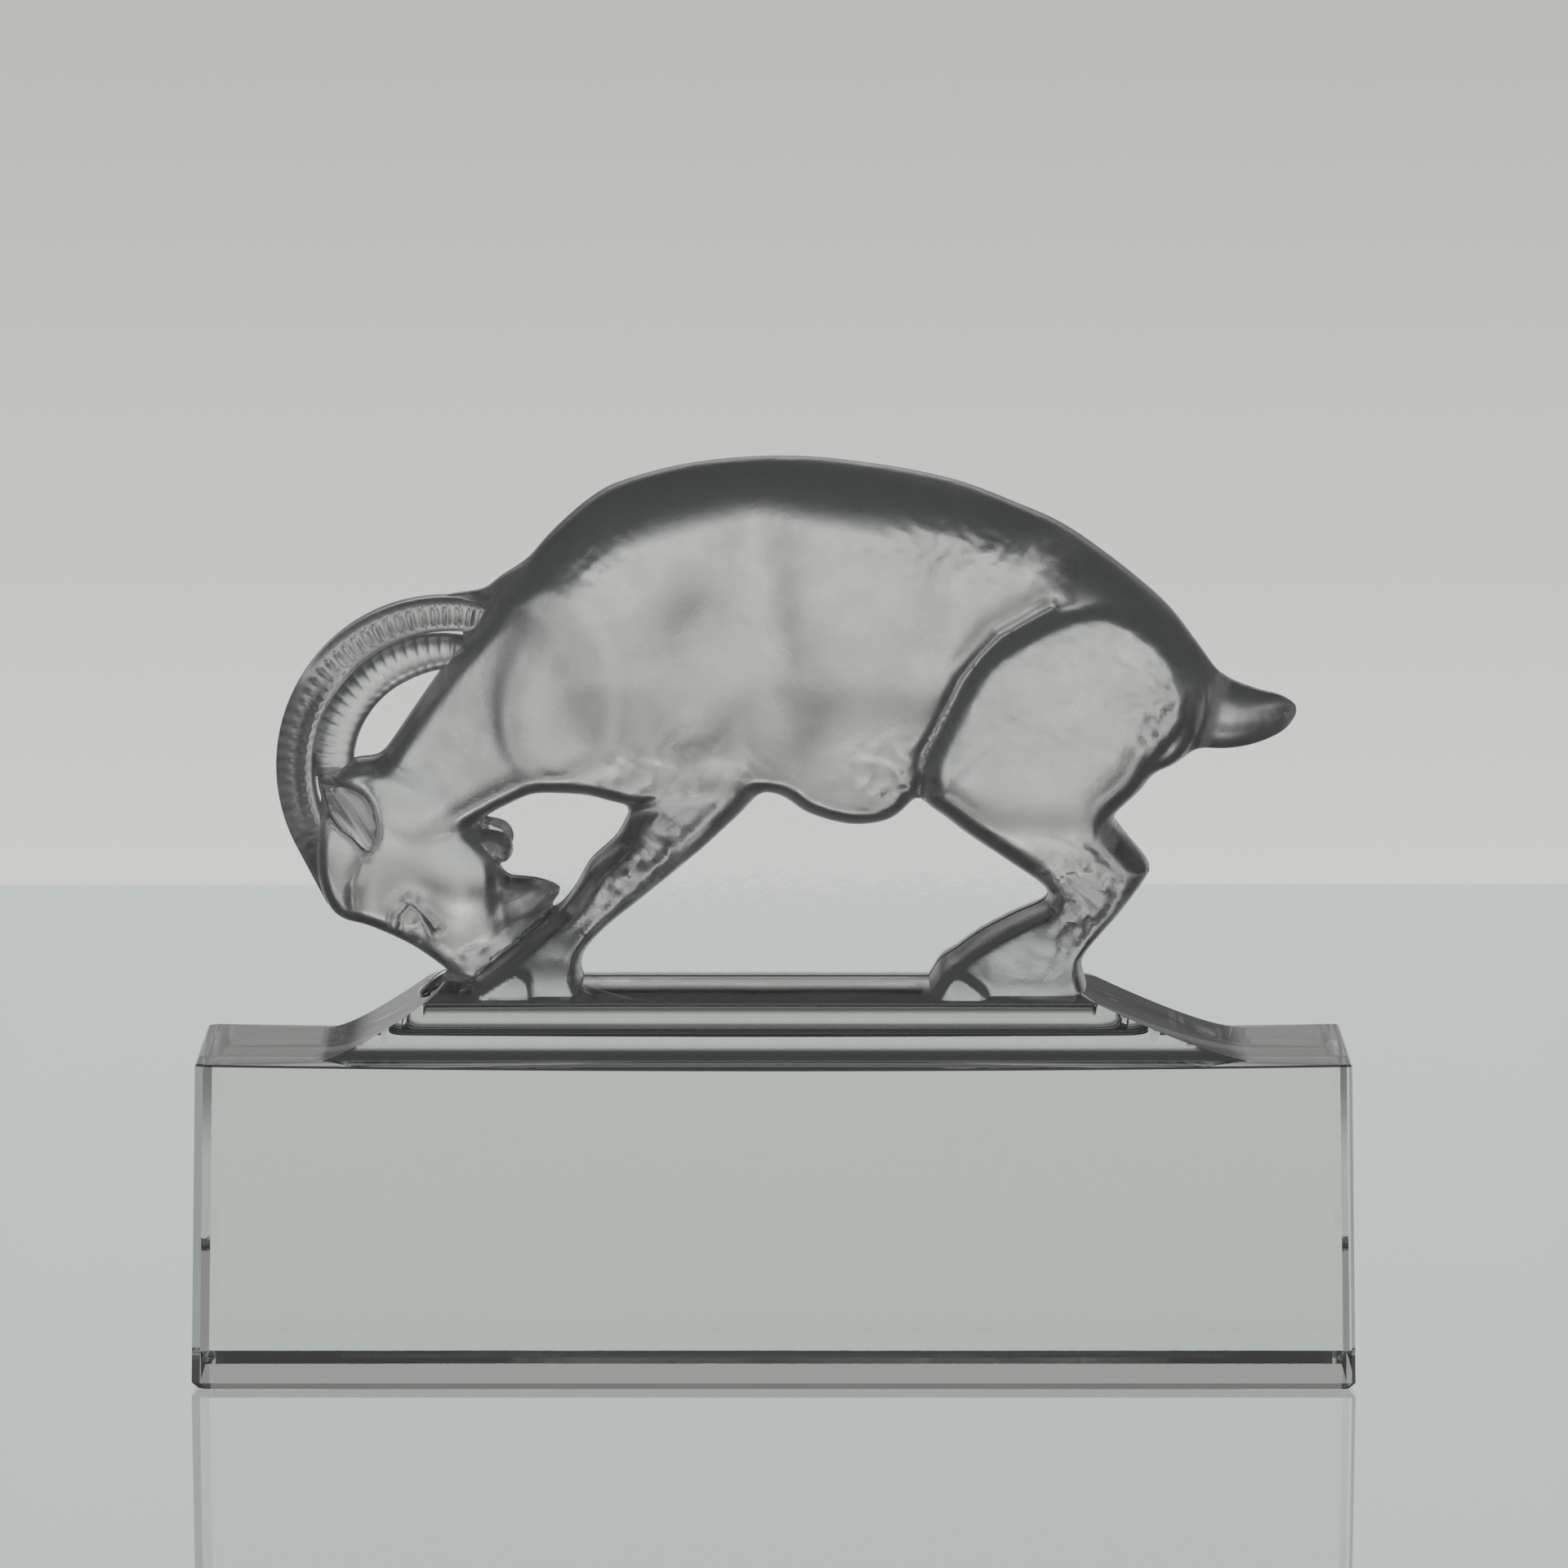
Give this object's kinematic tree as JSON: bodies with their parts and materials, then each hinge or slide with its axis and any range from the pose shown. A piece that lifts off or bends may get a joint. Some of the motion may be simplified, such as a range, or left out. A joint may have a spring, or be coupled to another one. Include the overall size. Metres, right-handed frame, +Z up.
{
  "type": "pressed glass animal mascot",
  "caption": "Clear and satin pressed-glass ibex with lowered head and ringed horns, standing on a polished oblong block.",
  "frame": {"origin": "middle of the block's foot, on the surface it stands on", "axes": "+X along the block towards the tail, +Y away from the near side, +Z up"},
  "size_m": [0.105, 0.033, 0.0831],
  "materials": {
    "clear_glass": "polished and fire-polished clear glass",
    "satin_glass": "satin, acid-etched glass"
  },
  "bodies": {
    "root": {"block": "clear_glass", "saddle": "clear_glass", "trunk": "satin_glass", "neck": "satin_glass", "head": "satin_glass", "outer_horn": "satin_glass", "inner_horn": "satin_glass", "near_ear": "satin_glass", "far_ear": "satin_glass", "beard": "satin_glass", "near_wattle": "satin_glass", "far_wattle": "satin_glass", "near_foreleg": "satin_glass", "far_foreleg": "satin_glass", "near_hind_leg": "satin_glass", "far_hind_leg": "satin_glass", "tail": "satin_glass", "belly_web": "clear_glass", "throat_web": "clear_glass", "horn_web": "clear_glass", "muzzle_bridge": "clear_glass"}
  },
  "joints": []
}
